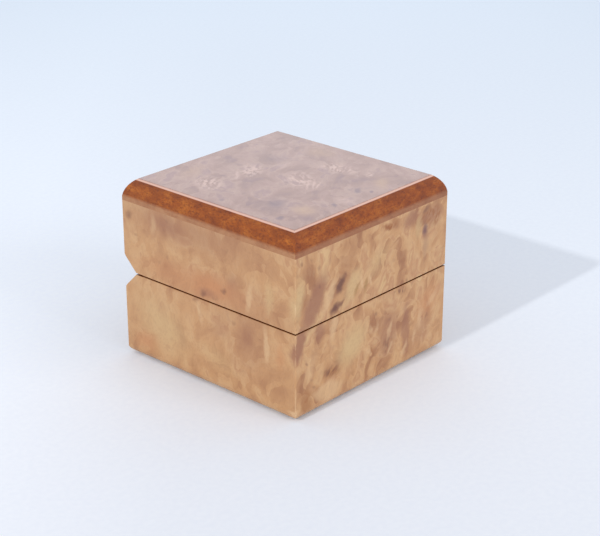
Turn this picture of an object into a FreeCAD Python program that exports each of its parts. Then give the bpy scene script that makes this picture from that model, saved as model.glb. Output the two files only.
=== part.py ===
"""A small lined jewellery box of veneered board, with a hinged lid about as tall as its base.

X runs left to right, the front is at -Y and the hinged back at +Y. Z is up, and the origin is on the
table under the middle of the box. Lengths are in millimetres.
"""
import FreeCAD, Part
import os
from math import cos, radians, sin, sqrt, tan

Vector = FreeCAD.Vector

# The box as a whole
box_width = 98.0
box_depth = 100.4
box_height = 81.8
base_rim_height = 39.45
seam_gap = 0.5

# Boards
wall_thickness = 11.0
floor_thickness = 4.0
floor_rebate = 4.0
felt_thickness = 0.5
felt_margin = 3.0

# Worked edges
corner_radius = 0.4
foot_round = 3.4
rim_ease = 0.3
mitre_angle = radians(45)

# Groove along the back seam: a chamfer at the mitre angle on each half, rounded where it meets the back
groove_leg = 7.4
groove_round = 4.0

# Lid edge: one pass of a round cutter through the lipping, which leaves a crisp edge on the top
cutter_radius = 11.0
top_inset = 5.4
top_ease = 0.35
lipping_height = 9.5
lipping_width = 9.0
veneer_thickness = 0.7

# Linings of velvet on card
lining_thickness = 1.6
lining_proud = 0.2
soft_clearance = 0.3

# Insert
roll_count = 3
roll_width = 12.4
roll_height = 20.0
roll_crown = 5.0
roll_end_taper = 0.8
roll_gap = 0.6
divider_thickness = 2.4
divider_drop = 10.0

# Lid pad. Its shares are places along its half depth, each with the part of the crown reached there
pad_edge = 4.0
pad_crown = 3.0
pad_shares = ((-1, 0.15), (-0.6, 0.75), (0, 1), (0.6, 0.75), (1, 0.15))

# Hinges
hinge_end_margin = 12.0
hinge_length = 22.0
knuckle_count = 5
knuckle_radius = 1.4
knuckle_gap = 0.15
groove_clearance = 0.25
pin_radius = 0.6
pin_clearance = 0.05
pin_stub = 0.4
pin_end_ease = 0.2
leaf_thickness = 0.7
leaf_depth = 12.0
leaf_notch = 0.3
kerf_clearance = 0.05

# Brads through the hinge leaves
brad_spacing = 12.0
brad_radius = 0.5
brad_bite = 1.5
brad_clearance = 0.05

# How far cutting shapes run past what they cut
overrun = 5.0

# Faces and levels that several pieces share
half_width = box_width / 2
half_depth = box_depth / 2
inner_half_width = half_width - wall_thickness
inner_half_depth = half_depth - wall_thickness
lined_half_width = inner_half_width - lining_thickness
lined_half_depth = inner_half_depth - lining_thickness
floor_top = felt_thickness + floor_thickness
lined_floor = floor_top + lining_thickness
lid_rim_height = base_rim_height + seam_gap
lipping_base = box_height - lipping_height
veneer_base = box_height - veneer_thickness

# Hinge axis: level with the middle of the seam, with room between the knuckles and both chamfers
axis_height = base_rim_height + seam_gap / 2
axis_inset = groove_leg + seam_gap / 2 - (knuckle_radius + groove_clearance) / cos(mitre_angle)
axis_y = half_depth - axis_inset
leaf_front = axis_y - knuckle_radius
leaf_back = leaf_front + leaf_thickness
notch_depth = knuckle_radius + leaf_notch
hinge_offset = half_width - hinge_end_margin - hinge_length / 2
hinge_centres = {"left": -hinge_offset, "right": hinge_offset}

# The two halves of the box, as the way their hinge leaves run from the axis
into_base = -1
into_lid = 1


# Shapes that many pieces are made from

def block(low, high):
    """Box between two corners, each given as (x, y, z)."""
    size = [far - near for near, far in zip(low, high)]
    return Part.makeBox(*size, Vector(*low))


def centred_block(half_x, half_y, low_z, high_z):
    """Box standing about the Z axis."""
    return block((-half_x, -half_y, low_z), (half_x, half_y, high_z))


def point_on_arc(centre, radius, start, end):
    """Point halfway along the short arc between two points of a circle."""
    across = start[0] + end[0] - 2 * centre[0]
    along = start[1] + end[1] - 2 * centre[1]
    length = sqrt(across ** 2 + along ** 2)
    return (centre[0] + radius * across / length, centre[1] + radius * along / length)


# Worked corners. Each is a list of strokes from the upright face to the level one, as points of
# (inset, drop): two points for a straight stroke and three for an arc.

def rounded_corner(radius):
    """A corner rounded to one radius."""
    start, end = (0, radius), (radius, 0)
    return [(start, point_on_arc((radius, radius), radius, start, end), end)]


def groove_corner():
    """Half of the back groove: a chamfer, rounded where it runs out on the back face."""
    reach = groove_round * tan(mitre_angle / 2)
    start = (0, groove_leg + reach)
    end = (reach * sin(mitre_angle), groove_leg - reach * cos(mitre_angle))
    middle = point_on_arc((groove_round, groove_leg + reach), groove_round, start, end)
    return [(start, middle, end), (end, (groove_leg, 0))]


def moulded_corner():
    """The lid's top edge: a large arc off the side face, with its crisp upper edge eased."""
    drop = sqrt(cutter_radius ** 2 - (cutter_radius - top_inset) ** 2)
    span = sqrt((cutter_radius - top_ease) ** 2 - (drop - top_ease) ** 2)
    growth = cutter_radius / (cutter_radius - top_ease)
    start = (0, drop)
    meet = (cutter_radius - span * growth, drop - (drop - top_ease) * growth)
    top = (cutter_radius - span, 0)
    arc_middle = point_on_arc((cutter_radius, drop), cutter_radius, start, meet)
    ease_middle = point_on_arc((cutter_radius - span, top_ease), top_ease, meet, top)
    return [(start, arc_middle, meet), (meet, ease_middle, top)]


def worked_profile(half_run, low, high, corners, place):
    """Closed profile from -half_run to half_run and low to high, with its four corners worked.

    corners are in the order low left, low right, high right, high left, and place(run, height) gives
    a point of the profile in space.
    """
    settings = [(-1, low, 1, False), (1, low, 1, True), (1, high, -1, False), (-1, high, -1, True)]
    strokes = []
    for corner, (side, level, inward, turned) in zip(corners, settings):
        placed = [[place(side * (half_run - inset), level + inward * drop) for inset, drop in stroke]
                  for stroke in corner]
        strokes += [stroke[::-1] for stroke in placed[::-1]] if turned else placed
    edges = []
    for stroke, following in zip(strokes, strokes[1:] + strokes[:1]):
        curve = Part.Arc(*stroke) if len(stroke) == 3 else Part.LineSegment(*stroke)
        edges.append(curve.toShape())
        if stroke[-1].distanceToPoint(following[0]) > Part.Precision.confusion():
            edges.append(Part.LineSegment(stroke[-1], following[0]).toShape())
    return Part.Face(Part.Wire(edges))


def outer_form(low, high, front_corners, side_corners):
    """Solid whose plan, front profile and side profile are each worked along their own edges."""
    plan = worked_profile(half_width, -half_depth, half_depth, [rounded_corner(corner_radius)] * 4,
                          lambda run, across: Vector(run, across, low - overrun))
    front = worked_profile(half_width, low, high, front_corners,
                           lambda run, height: Vector(run, -half_depth - overrun, height))
    side = worked_profile(half_depth, low, high, side_corners,
                          lambda run, height: Vector(-half_width - overrun, run, height))
    solid = plan.extrude(Vector(0, 0, high - low + 2 * overrun))
    solid = solid.common(front.extrude(Vector(0, box_depth + 2 * overrun, 0)))
    return solid.common(side.extrude(Vector(box_width + 2 * overrun, 0, 0)))


def layer(low, high):
    """Slab wider than the box, to take one layer out of a form."""
    return centred_block(half_width + overrun, half_depth + overrun, low, high)


def mitred_sides(frame, frame_width):
    """The four sides of a frame, cut apart from corner to corner at the mitre angle."""
    sides = {}
    reach = frame_width + overrun
    for name, along_x, sign in (("front", True, -1), ("back", True, 1),
                                ("left", False, -1), ("right", False, 1)):
        half_run, half_across = (half_width, half_depth) if along_x else (half_depth, half_width)
        outline = []
        for end, offset in ((-1, overrun), (1, overrun), (1, -reach), (-1, -reach)):
            run = end * (half_run + offset)
            across = sign * (half_across + offset)
            outline.append(Vector(run, across, 0) if along_x else Vector(across, run, 0))
        plan = Part.Face(Part.makePolygon(outline + outline[:1]))
        sides[name] = frame.common(plan.extrude(Vector(0, 0, box_height + overrun)))
    return sides


# Wooden pieces of the base

def base_floor():
    """Floor panel, let into the rebate round the foot of the walls."""
    return centred_block(inner_half_width + floor_rebate, inner_half_depth + floor_rebate,
                         felt_thickness, floor_top)


def base_walls():
    """Veneered boards round the base, rebated for the floor and grooved along the top of the back."""
    foot = rounded_corner(foot_round)
    rim = rounded_corner(rim_ease)
    frame = outer_form(felt_thickness, base_rim_height, [foot, foot, rim, rim],
                       [foot, foot, groove_corner(), rim])
    frame = frame.cut(centred_block(inner_half_width, inner_half_depth, 0, box_height))
    frame = frame.cut(base_floor()).cut(hinge_cuts(into_base))
    return mitred_sides(frame, wall_thickness)


def underside_felt():
    """Felt sheet that the box stands on, kept back from its edges."""
    return centred_block(half_width - felt_margin, half_depth - felt_margin, 0, felt_thickness)


# Wooden pieces of the lid

def lid_form():
    """Outer form of the whole lid, sawn and drilled for its hinge leaves."""
    rim = rounded_corner(rim_ease)
    edge = moulded_corner()
    form = outer_form(lid_rim_height, box_height, [rim, rim, edge, edge],
                      [rim, groove_corner(), edge, edge])
    return form.cut(hinge_cuts(into_lid))


def lid_walls(form):
    """Veneered boards round the lid, grooved along the foot of the back."""
    frame = form.common(layer(lid_rim_height, lipping_base))
    frame = frame.cut(centred_block(inner_half_width, inner_half_depth, 0, box_height))
    return mitred_sides(frame, wall_thickness)


def lid_top_panel():
    """Board inside the lipping, resting on the walls."""
    return centred_block(half_width - lipping_width, half_depth - lipping_width,
                         lipping_base, veneer_base)


def lid_lipping(form):
    """Mitred hardwood strips round the top panel, moulded by the cutter."""
    ring = form.common(layer(lipping_base, veneer_base)).cut(lid_top_panel())
    return mitred_sides(ring, lipping_width)


def lid_top_veneer(form):
    """Burl sheet over the top panel and the lipping, trimmed to the moulding."""
    return form.common(layer(veneer_base, box_height))


# Linings, insert and pad

def wall_linings(low, high):
    """Four lining boards against the walls, the side ones between the front and back ones."""
    middle = Vector(0, 0, 0)
    front = block((-inner_half_width, -inner_half_depth, low), (inner_half_width, -lined_half_depth, high))
    left = block((-inner_half_width, -lined_half_depth, low), (-lined_half_width, lined_half_depth, high))
    return {"front": front, "back": front.mirror(middle, Vector(0, 1, 0)),
            "left": left, "right": left.mirror(middle, Vector(1, 0, 0))}


def floor_lining():
    """Lining board on the floor, inside the wall linings."""
    return centred_block(lined_half_width, lined_half_depth, floor_top, lined_floor)


def roll_section(place, centre, low, half_roll, high):
    """Cross-section of a ring roll: a flat foot, straight sides and a crowned top."""
    shoulder = high - roll_crown
    foot_left = Vector(place, centre - half_roll, low)
    foot_right = Vector(place, centre + half_roll, low)
    left = Vector(place, centre - half_roll, shoulder)
    right = Vector(place, centre + half_roll, shoulder)
    crown = Part.Arc(right, Vector(place, centre, high), left)
    sides = (Part.LineSegment(foot_left, foot_right), Part.LineSegment(foot_right, right),
             crown, Part.LineSegment(left, foot_left))
    return Part.Wire([side.toShape() for side in sides])


def ring_rolls():
    """Foam rolls in velvet, side by side from the back lining, with their ends drawn in."""
    rolls = {}
    half_roll = roll_width / 2
    half_length = lined_half_width - soft_clearance
    foot = lined_floor + soft_clearance
    for number in range(roll_count):
        centre = lined_half_depth - soft_clearance - half_roll - number * (roll_width + roll_gap)
        sections = []
        for side, taper in ((-1, roll_end_taper), (-1, 0), (1, 0), (1, roll_end_taper)):
            place = side * (half_length - roll_end_taper + taper)
            sections.append(roll_section(place, centre, foot + taper, half_roll - taper,
                                         foot + roll_height - taper))
        rolls[f"ring_roll_{number + 1}"] = Part.makeLoft(sections, True, True)
    return rolls


def divider():
    """Velvet-covered board between the ring rolls and the open compartment."""
    back = lined_half_depth - 2 * soft_clearance - roll_count * roll_width - (roll_count - 1) * roll_gap
    return block((-lined_half_width, back - divider_thickness, lined_floor),
                 (lined_half_width, back, base_rim_height - divider_drop))


def pad_section(place, half_run, rise):
    """Cross-section of the lid pad: a flat top against the board and a crowned underside."""
    edge = lipping_base - pad_edge
    left, right = Vector(-half_run, place, edge), Vector(half_run, place, edge)
    crown = Part.Arc(left, Vector(0, place, edge - rise), right)
    flats = Part.makePolygon([right, Vector(half_run, place, lipping_base),
                              Vector(-half_run, place, lipping_base), left])
    return Part.Wire([crown.toShape()] + flats.Edges)


def lid_pad():
    """Padded panel under the top board, crowned downwards both ways."""
    half_x = lined_half_width - soft_clearance
    half_y = lined_half_depth - soft_clearance
    sections = [pad_section(place_share * half_y, half_x, crown_share * pad_crown)
                for place_share, crown_share in pad_shares]
    return Part.makeLoft(sections, True, False)


# Hinges

def axial_rod(radius, start, end):
    """Round bar on the hinge axis, between two places along X."""
    return Part.makeCylinder(radius, end - start, Vector(start, axis_y, axis_height), Vector(1, 0, 0))


def leaf_block(start, end, room, near, far, way):
    """Box in a leaf's plane, from near to far off the hinge axis, widened by room on both faces."""
    low, high = sorted((axis_height + way * near, axis_height + way * far))
    return block((start, leaf_front - room, low), (end, leaf_back + room, high))


def hinge_leaf(centre, way):
    """One leaf: a plate let into the wall, with its own knuckles rolled round the pin."""
    start = centre - hinge_length / 2
    end = centre + hinge_length / 2
    pitch = (hinge_length + knuckle_gap) / knuckle_count
    first_knuckle = 0 if way == into_base else 1
    leaf = leaf_block(start, end, 0, notch_depth, leaf_depth, way)
    for number in range(first_knuckle, knuckle_count, 2):
        near = start + number * pitch
        far = near + pitch - knuckle_gap
        leaf = leaf.fuse(leaf_block(near, far, 0, 0, notch_depth, way))
        leaf = leaf.fuse(axial_rod(knuckle_radius, near, far))
    bore = axial_rod(pin_radius + pin_clearance, start - overrun, end + overrun)
    return leaf.removeSplitter().cut(bore).cut(leaf_brads(centre, way, brad_clearance))


def hinge_pin(centre):
    """Pin through all the knuckles, with eased ends."""
    reach = hinge_length / 2 + pin_stub
    pin = axial_rod(pin_radius, centre - reach, centre + reach)
    return pin.makeChamfer(pin_end_ease, [edge for edge in pin.Edges if edge.isClosed()])


def leaf_brads(centre, way, room):
    """The two headless brads of a leaf, driven from inside the wall. room widens them into holes."""
    brads = []
    level = axis_height + way * (notch_depth + leaf_depth) / 2
    length = leaf_back + brad_bite - inner_half_depth
    for side in (-1, 1):
        start = Vector(centre + side * brad_spacing / 2, inner_half_depth, level)
        brads.append(Part.makeCylinder(brad_radius + room, length + room, start, Vector(0, 1, 0)))
    return Part.makeCompound(brads)


def hinge_cuts(way):
    """Saw kerfs for the leaves of one half of the box, and the holes of their brads."""
    cuts = []
    reach = hinge_length / 2 + kerf_clearance
    for centre in hinge_centres.values():
        cuts.append(leaf_block(centre - reach, centre + reach, kerf_clearance, 0,
                               leaf_depth + kerf_clearance, way))
        cuts.append(leaf_brads(centre, way, brad_clearance))
    return Part.makeCompound(cuts)


def all_brads(way):
    """Every brad of one half of the box, as one group."""
    return Part.makeCompound([brad for centre in hinge_centres.values()
                              for brad in leaf_brads(centre, way, 0).Solids])


# The whole box

def build():
    """Every piece by its name."""
    form = lid_form()
    pieces = {"base_floor": base_floor(), "underside_felt": underside_felt(),
              "lid_top_panel": lid_top_panel(), "lid_top_veneer": lid_top_veneer(form),
              "floor_lining": floor_lining(), "divider": divider(), "lid_pad": lid_pad(),
              "base_hinge_brads": all_brads(into_base), "lid_hinge_brads": all_brads(into_lid)}
    frames = {"base_{}_wall": base_walls(),
              "lid_{}_wall": lid_walls(form),
              "lid_lipping_{}": lid_lipping(form),
              "base_lining_{}": wall_linings(floor_top, base_rim_height + lining_proud),
              "lid_lining_{}": wall_linings(lid_rim_height, lipping_base)}
    for name, sides in frames.items():
        for side, shape in sides.items():
            pieces[name.format(side)] = shape
    for side, centre in hinge_centres.items():
        pieces[f"hinge_base_leaf_{side}"] = hinge_leaf(centre, into_base)
        pieces[f"hinge_lid_leaf_{side}"] = hinge_leaf(centre, into_lid)
        pieces[f"hinge_pin_{side}"] = hinge_pin(centre)
    return pieces | ring_rolls()


os.makedirs("parts", exist_ok=True)
for name, shape in build().items():
    print(name, shape.isValid(), len(shape.Solids), round(shape.Volume, 2))
    shape.exportStep(f"parts/{name}.step")
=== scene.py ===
"""Looks of a small burl-veneered jewellery box with a hinged lid, dressed over its packed construction.

Lengths are in metres, as in the frame, and the patterns in the materials are worked out in millimetres.
"""
from math import cos, pi, radians, sin

import bmesh
import bpy
from mathutils import Matrix, Vector, noise


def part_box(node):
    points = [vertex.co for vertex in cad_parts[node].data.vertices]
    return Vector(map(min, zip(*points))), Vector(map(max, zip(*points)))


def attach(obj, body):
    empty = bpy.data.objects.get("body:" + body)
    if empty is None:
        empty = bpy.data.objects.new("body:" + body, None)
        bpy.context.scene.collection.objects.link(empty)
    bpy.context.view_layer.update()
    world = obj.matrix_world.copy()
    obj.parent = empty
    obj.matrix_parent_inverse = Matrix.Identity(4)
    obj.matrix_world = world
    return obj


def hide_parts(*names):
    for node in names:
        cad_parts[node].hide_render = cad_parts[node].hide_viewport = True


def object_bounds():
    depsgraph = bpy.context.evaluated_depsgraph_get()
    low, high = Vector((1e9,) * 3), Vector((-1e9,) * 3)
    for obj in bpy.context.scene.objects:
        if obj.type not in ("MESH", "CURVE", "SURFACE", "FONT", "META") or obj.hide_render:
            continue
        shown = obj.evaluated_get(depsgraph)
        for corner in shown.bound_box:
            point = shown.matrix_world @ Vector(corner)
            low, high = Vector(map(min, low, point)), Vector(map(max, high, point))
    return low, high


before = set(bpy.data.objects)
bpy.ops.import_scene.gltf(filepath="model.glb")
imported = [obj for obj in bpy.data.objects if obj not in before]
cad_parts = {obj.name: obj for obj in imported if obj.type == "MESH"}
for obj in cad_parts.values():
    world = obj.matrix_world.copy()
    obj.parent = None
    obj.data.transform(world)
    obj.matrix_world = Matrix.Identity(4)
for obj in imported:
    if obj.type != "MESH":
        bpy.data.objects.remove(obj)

cad_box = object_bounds()


# Walls of the base and the lid: boards veneered with burl on the outside. The box is glued up whole,
# veneered and lacquered, then sawn through, so the figure runs on across the seam. The sawn rims and the
# groove along the back are stained dark.

MM = 0.001
half_width, half_depth, box_top = (corner / MM for corner in cad_box[1])
base_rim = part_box("base_front_wall")[1].z / MM
lid_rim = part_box("lid_front_wall")[0].z / MM
seam = (base_rim + lid_rim) / 2

# Directions of a face as seen from outside: to the right, up and out of it, with a point on it
face_directions = {
    "left": ((0, -1, 0), (0, 0, 1), (-1, 0, 0), (-half_width, 0, 0)),
    "front": ((1, 0, 0), (0, 0, 1), (0, -1, 0), (0, -half_depth, 0)),
    "right": ((0, 1, 0), (0, 0, 1), (1, 0, 0), (half_width, 0, 0)),
    "back": ((-1, 0, 0), (0, 0, 1), (0, 1, 0), (0, half_depth, 0)),
    "top": ((1, 0, 0), (0, 1, 0), (0, 0, 1), (0, 0, box_top)),
}


def linear(code):
    """Linear colour of an sRGB hex code."""
    shares = [int(code[at:at + 2], 16) / 255 for at in (1, 3, 5)]
    return [c / 12.92 if c <= 0.04045 else ((c + 0.055) / 1.055) ** 2.4 for c in shares] + [1.0]


def node(tree, kind, sockets=None, stops=None, **settings):
    """Adds a node with its settings. Sockets are given values, or links from other nodes' outputs."""
    # Where names repeat, sockets go by number: a Mix node's two colours are 6 and 7, and its result is 2
    made = tree.nodes.new(kind)
    for name, value in settings.items():
        setattr(made, name, value)
    for name, value in (sockets or {}).items():
        if isinstance(value, bpy.types.NodeSocket):
            tree.links.new(value, made.inputs[name])
        else:
            made.inputs[name].default_value = value
    if stops:
        elements = made.color_ramp.elements
        while len(elements) < len(stops):
            elements.new(1.0)
        for element, (position, code) in zip(elements, stops):
            element.position = position
            element.color = linear(code)
    return made


def new_material(name, **sockets):
    """A material with only a shader, whose sockets are set by name. Also gives the place in mm."""
    material = bpy.data.materials.new(name)
    material.use_nodes = True
    tree = material.node_tree
    tree.nodes.clear()
    shader = node(tree, "ShaderNodeBsdfPrincipled")
    for socket, value in sockets.items():
        shader.inputs[socket.replace("_", " ")].default_value = value
    node(tree, "ShaderNodeOutputMaterial", {"Surface": shader.outputs[0]})
    metres = node(tree, "ShaderNodeTexCoord").outputs["Object"]
    spot = node(tree, "ShaderNodeVectorMath", {0: metres, "Scale": 1 / MM}, operation="SCALE").outputs[0]
    return material, tree, shader, spot


def finish_nodes(material, *names):
    """Gives a material to nodes of the frame whose shape stays."""
    for name in names:
        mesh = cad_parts[name].data
        mesh.materials.clear()
        mesh.materials.append(material)


def placed_marks(tree, colour, tones, marks, wavering, fleck):
    """Lays marks over a colour. Each is a soft oval on a face, with an edge that wavers."""
    mark_depth = 6.0
    for face, right, up, half_length, half_breadth, tilt, tone, strength, softness in marks:
        rightward, upward, outward, origin = (Vector(way) for way in face_directions[face])
        length_way = rightward * cos(radians(tilt)) + upward * sin(radians(tilt))
        turn = Matrix((length_way, outward.cross(length_way), outward)).transposed().to_euler()
        local = node(tree, "ShaderNodeMapping", {
            "Vector": wavering, "Rotation": turn, "Location": origin + rightward * right + upward * up,
            "Scale": (half_length, half_breadth, mark_depth)}, vector_type="TEXTURE")
        ball = node(tree, "ShaderNodeTexGradient", {0: local.outputs[0]}, gradient_type="SPHERICAL")
        mask = node(tree, "ShaderNodeMapRange", {
            "Value": ball.outputs["Fac"], "From Max": softness, "To Max": strength},
            interpolation_type="SMOOTHSTEP").outputs[0]
        if tone.startswith("flecked "):
            mask = node(tree, "ShaderNodeMath", {0: mask, 1: fleck}, operation="MULTIPLY").outputs[0]
        colour = node(tree, "ShaderNodeMix", {
            0: mask, 6: colour, 7: linear(tones[tone.removeprefix("flecked ")])},
            data_type="RGBA").outputs[2]
    return colour


def burl_figure(tree, spot, tones, broad_marks, fine_marks, lean, swirl, vigour, quiet):
    """Colour of a burl sheet: patches, facets, strokes, eyes and marks placed one by one.

    The grain leans by lean and curls by swirl mm. Vigour is its contrast, and quiet the share of that
    which is left on the two sides.
    """
    # The growth swirls: places are pushed about by a broad drift, then by tighter curls
    drift_size, drift_reach, curl_size = 24.0, 14.0, 8.0
    drift = node(tree, "ShaderNodeTexNoise", {"Vector": spot, "Scale": 1 / drift_size, "Detail": 1.0})
    flow = node(tree, "ShaderNodeVectorMath", {
        0: drift.outputs["Color"], 1: (drift_reach,) * 3, 2: spot}, operation="MULTIPLY_ADD").outputs[0]
    curl = node(tree, "ShaderNodeTexNoise", {"Vector": flow, "Scale": 1 / curl_size, "Detail": 1.5})
    curled = node(tree, "ShaderNodeVectorMath", {
        0: curl.outputs["Color"], 1: (swirl,) * 3, 2: flow}, operation="MULTIPLY_ADD").outputs[0]

    # The sheets on the left and right sides are quieter than those before and behind
    quiet_depth, lively_depth = 0.5, 4.0
    across = node(tree, "ShaderNodeSeparateXYZ", {0: spot}).outputs["X"]
    across = node(tree, "ShaderNodeMath", {0: across}, operation="ABSOLUTE").outputs[0]
    lively = node(tree, "ShaderNodeMapRange", {
        "Value": across, "From Min": half_width - quiet_depth, "From Max": half_width - lively_depth,
        "To Min": quiet}).outputs[0]

    # Edges within the figure waver, to both sides of where they would run
    edge_size, noise_middle = 5.0, 0.5
    waver = node(tree, "ShaderNodeTexNoise", {"Vector": spot, "Scale": 1 / edge_size, "Detail": 3.0})
    centred = node(tree, "ShaderNodeVectorMath", {
        0: waver.outputs["Color"], 1: (noise_middle,) * 3}, operation="SUBTRACT").outputs[0]

    # Patches of tone, longer than they are wide. The fibres turn abruptly here and there, which leaves
    # facets with crisp edges between them.
    patch_width, patch_length = 10.0, 15.0
    facets_per_patch, facet_share, facet_ripple, facet_softness = 1.7, 0.24, 0.6, 0.08
    leaning = node(tree, "ShaderNodeMapping", {
        "Vector": curled, "Rotation": lean, "Scale": (patch_width, patch_width, patch_length)},
        vector_type="TEXTURE").outputs[0]
    patch = node(tree, "ShaderNodeTexNoise", {
        "Vector": leaning, "Scale": 1.0, "Detail": 2.0, "Roughness": 0.45})
    ripple = node(tree, "ShaderNodeTexNoise", {"Vector": spot, "Scale": 1 / edge_size, "Detail": 0.0})
    rippled = node(tree, "ShaderNodeVectorMath", {
        0: ripple.outputs["Color"], 1: (facet_ripple,) * 3, 2: leaning},
        operation="MULTIPLY_ADD").outputs[0]
    facets = node(tree, "ShaderNodeTexVoronoi", {
        "Vector": rippled, "Scale": facets_per_patch, "Smoothness": facet_softness}, feature="SMOOTH_F1")
    facet = node(tree, "ShaderNodeSeparateXYZ", {0: facets.outputs["Color"]}).outputs["X"]
    shade = node(tree, "ShaderNodeMath", {
        0: facet, 1: facet_share, 2: patch.outputs["Fac"]}, operation="MULTIPLY_ADD").outputs[0]
    shade = node(tree, "ShaderNodeMath", {
        0: shade, 1: noise_middle * (1 + facet_share)}, operation="SUBTRACT").outputs[0]
    shade = node(tree, "ShaderNodeMath", {0: shade, 1: vigour}, operation="MULTIPLY").outputs[0]
    shade = node(tree, "ShaderNodeMath", {
        0: shade, 1: lively, 2: noise_middle}, operation="MULTIPLY_ADD").outputs[0]
    colour = node(tree, "ShaderNodeValToRGB", {"Fac": shade}, stops=tones["patches"]).outputs[0]

    # Strokes: short ribbons of pale and of dark grain
    stroke_width, stroke_length = 2.6, 6.0
    ribbon = node(tree, "ShaderNodeMapping", {
        "Vector": curled, "Rotation": lean, "Scale": (stroke_width, stroke_width, stroke_length)},
        vector_type="TEXTURE").outputs[0]
    strokes = node(tree, "ShaderNodeTexNoise", {"Vector": ribbon, "Scale": 1.0, "Detail": 2.5})
    for tone, start, full, strength in (("pale", 0.52, 0.75, 0.2), ("mauve", 0.46, 0.25, 0.26)):
        share = node(tree, "ShaderNodeMapRange", {
            "Value": strokes.outputs["Fac"], "From Min": start, "From Max": full,
            "To Max": strength * vigour}).outputs[0]
        share = node(tree, "ShaderNodeMath", {0: share, 1: lively}, operation="MULTIPLY").outputs[0]
        colour = node(tree, "ShaderNodeMix", {
            0: share, 6: colour, 7: linear(tones[tone])}, data_type="RGBA").outputs[2]

    # Edges of the placed marks waver, and flecks break some of them up
    edge_reach, fleck_width, fleck_length = 4.0, 1.5, 3.2
    wavering = node(tree, "ShaderNodeVectorMath", {
        0: centred, 1: (edge_reach,) * 3, 2: spot}, operation="MULTIPLY_ADD").outputs[0]
    streaked = node(tree, "ShaderNodeMapping", {
        "Vector": curled, "Rotation": lean, "Scale": (fleck_width, fleck_width, fleck_length)},
        vector_type="TEXTURE").outputs[0]
    flecks = node(tree, "ShaderNodeTexNoise", {"Vector": streaked, "Scale": 1.0, "Detail": 1.0})
    fleck = node(tree, "ShaderNodeMapRange", {
        "Value": flecks.outputs["Fac"], "From Min": 0.4, "From Max": 0.62}).outputs[0]
    colour = placed_marks(tree, colour, tones, broad_marks, wavering, fleck)

    # Eyes: the cut ends of buds, in clusters. Their edge and core are shares of their spacing.
    cluster_size, eye_spacing, eye_edge, eye_core = 20.0, 4.0, 0.4, 0.05
    cluster = node(tree, "ShaderNodeTexNoise", {"Vector": flow, "Scale": 1 / cluster_size, "Detail": 1.0})
    burled = node(tree, "ShaderNodeMapRange", {
        "Value": cluster.outputs["Fac"], "From Min": 0.5, "From Max": 0.7, "To Max": 0.7}).outputs[0]
    burled = node(tree, "ShaderNodeMath", {0: burled, 1: lively}, operation="MULTIPLY").outputs[0]
    eyes = node(tree, "ShaderNodeTexVoronoi", {"Vector": curled, "Scale": 1 / eye_spacing})
    eye = node(tree, "ShaderNodeMapRange", {
        "Value": eyes.outputs["Distance"], "From Min": eye_edge, "From Max": eye_core},
        interpolation_type="SMOOTHSTEP").outputs[0]
    chance = node(tree, "ShaderNodeSeparateXYZ", {0: eyes.outputs["Color"]}).outputs["X"]
    chosen = node(tree, "ShaderNodeMapRange", {
        "Value": chance, "From Min": 0.45, "From Max": 0.9}).outputs[0]
    eye = node(tree, "ShaderNodeMath", {0: eye, 1: chosen}, operation="MULTIPLY").outputs[0]
    eye = node(tree, "ShaderNodeMath", {0: eye, 1: burled}, operation="MULTIPLY").outputs[0]
    colour = node(tree, "ShaderNodeMix", {
        0: eye, 6: colour, 7: linear(tones["eye"])}, data_type="RGBA").outputs[2]
    colour = placed_marks(tree, colour, tones, fine_marks, wavering, fleck)

    # Pores and fine grain, drawn coarser than they are so that they show
    grain_width, grain_length, grain_strength = 0.8, 1.8, 0.18
    fine = node(tree, "ShaderNodeMapping", {
        "Vector": flow, "Rotation": lean, "Scale": (grain_width, grain_width, grain_length)},
        vector_type="TEXTURE").outputs[0]
    grain = node(tree, "ShaderNodeTexNoise", {"Vector": fine, "Scale": 1.0, "Detail": 2.0})
    grain_dark = node(tree, "ShaderNodeMapRange", {
        "Value": grain.outputs["Fac"], "From Min": 0.48, "From Max": 0.72,
        "To Max": grain_strength}).outputs[0]
    return node(tree, "ShaderNodeMix", {
        0: grain_dark, 6: colour, 7: linear(tones["mauve"])}, data_type="RGBA").outputs[2]


side_tones = {
    "patches": ((0.28, "#A6734F"), (0.40, "#BB8A60"), (0.50, "#C8986A"), (0.58, "#CFA375"),
                (0.66, "#C08E65"), (0.78, "#D3AB7B")),
    "pale": "#D9B286", "straw": "#CFAC7C", "mauve": "#9E6C52", "brown": "#9C6238", "olive": "#A27C4A",
    "eye": "#70473A", "plum": "#6B484E", "rose": "#C6895C",
}

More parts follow.
